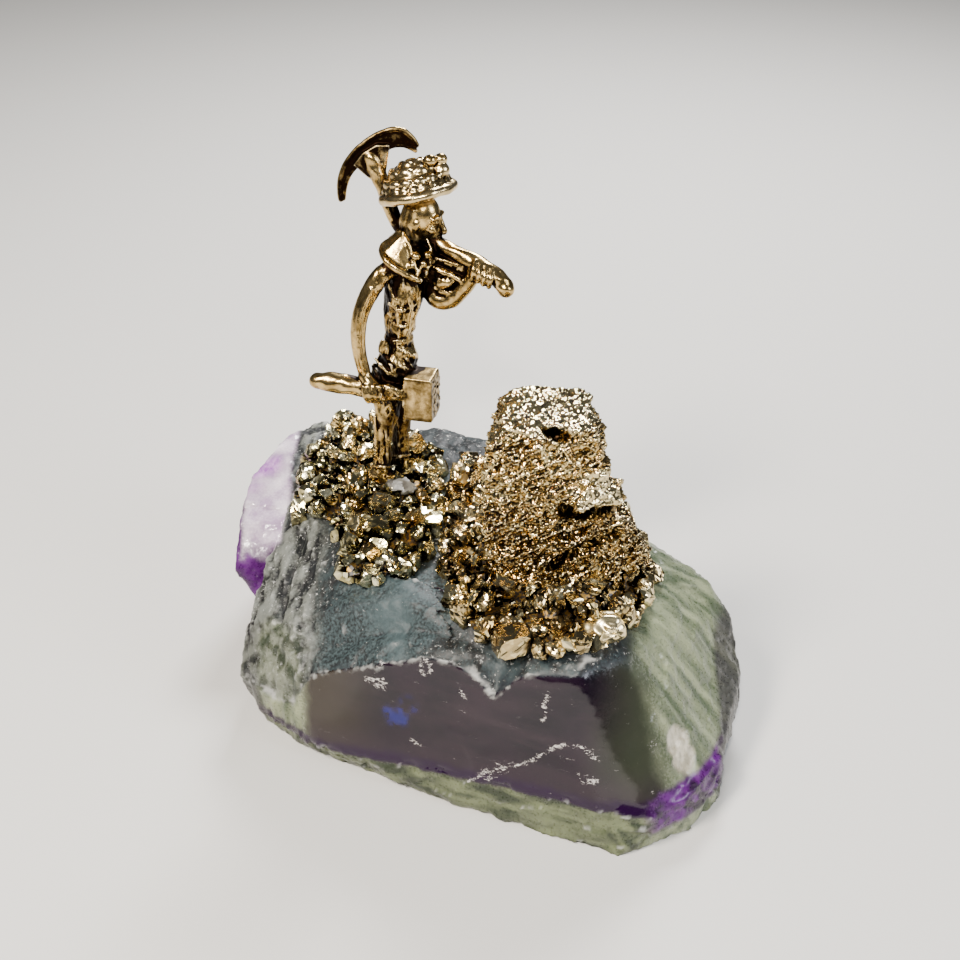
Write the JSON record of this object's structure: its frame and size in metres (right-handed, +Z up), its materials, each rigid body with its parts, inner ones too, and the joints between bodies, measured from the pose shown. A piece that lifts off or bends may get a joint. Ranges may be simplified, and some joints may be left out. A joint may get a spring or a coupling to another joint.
{
  "type": "miner figurine with pyrite on fluorite",
  "caption": "Rough banded fluorite base carrying an upright pyrite block, pyrite gravel and a small cast metal miner with pickaxe and sledgehammer.",
  "frame": {"origin": "on the floor, under the middle of the whole object's box", "axes": "+Z up, -Y towards the long glossy front face of the stone, +X to the right with the figurine on the left and the pyrite block on the right"},
  "size_m": [0.0684, 0.0662, 0.0725],
  "materials": {
    "fluorite": "banded purple and grey-green fluorite, glossy cleavage faces with a frosted top",
    "pyrite_massive": "massive fine-grained pyrite, glittering brassy gold with brown recesses",
    "pyrite_gravel": "loose glued pyrite grains, bright faces and dark gaps",
    "cast_figure": "cast metal with a pale gold plating worn bright on the edges and dark brown patina in the recesses",
    "pale_flake": "thin translucent grey flake"
  },
  "bodies": {
    "root": {"fluorite_base": "fluorite", "miner_figure": "cast_figure", "pale_flake": "pale_flake", "pyrite_block": "pyrite_massive", "pyrite_chip_01": "pyrite_gravel", "pyrite_chip_02": "pyrite_gravel", "pyrite_chip_03": "pyrite_gravel", "pyrite_chip_04": "pyrite_gravel", "pyrite_chip_05": "pyrite_gravel", "pyrite_chip_06": "pyrite_gravel", "pyrite_chip_07": "pyrite_gravel", "pyrite_chip_08": "pyrite_gravel", "pyrite_chip_09": "pyrite_gravel", "pyrite_chip_10": "pyrite_gravel", "pyrite_chip_11": "pyrite_gravel", "pyrite_chip_12": "pyrite_gravel", "pyrite_chip_13": "pyrite_gravel", "pyrite_chip_14": "pyrite_gravel", "pyrite_chip_15": "pyrite_gravel", "pyrite_chip_16": "pyrite_gravel", "pyrite_chip_17": "pyrite_gravel", "pyrite_chip_18": "pyrite_gravel", "pyrite_chip_19": "pyrite_gravel", "pyrite_chip_20": "pyrite_gravel", "pyrite_chip_21": "pyrite_gravel", "pyrite_chip_22": "pyrite_gravel", "pyrite_chip_23": "pyrite_gravel", "pyrite_chip_24": "pyrite_gravel", "pyrite_chip_25": "pyrite_gravel", "pyrite_chip_26": "pyrite_gravel", "pyrite_chip_27": "pyrite_gravel", "pyrite_chip_28": "pyrite_gravel", "pyrite_chip_29": "pyrite_gravel", "pyrite_chip_30": "pyrite_gravel", "pyrite_chip_31": "pyrite_gravel", "pyrite_chip_32": "pyrite_gravel", "pyrite_chip_33": "pyrite_gravel", "pyrite_chip_34": "pyrite_gravel", "pyrite_gravel_around_block": "pyrite_gravel", "pyrite_gravel_around_figure": "pyrite_gravel"}
  },
  "joints": []
}
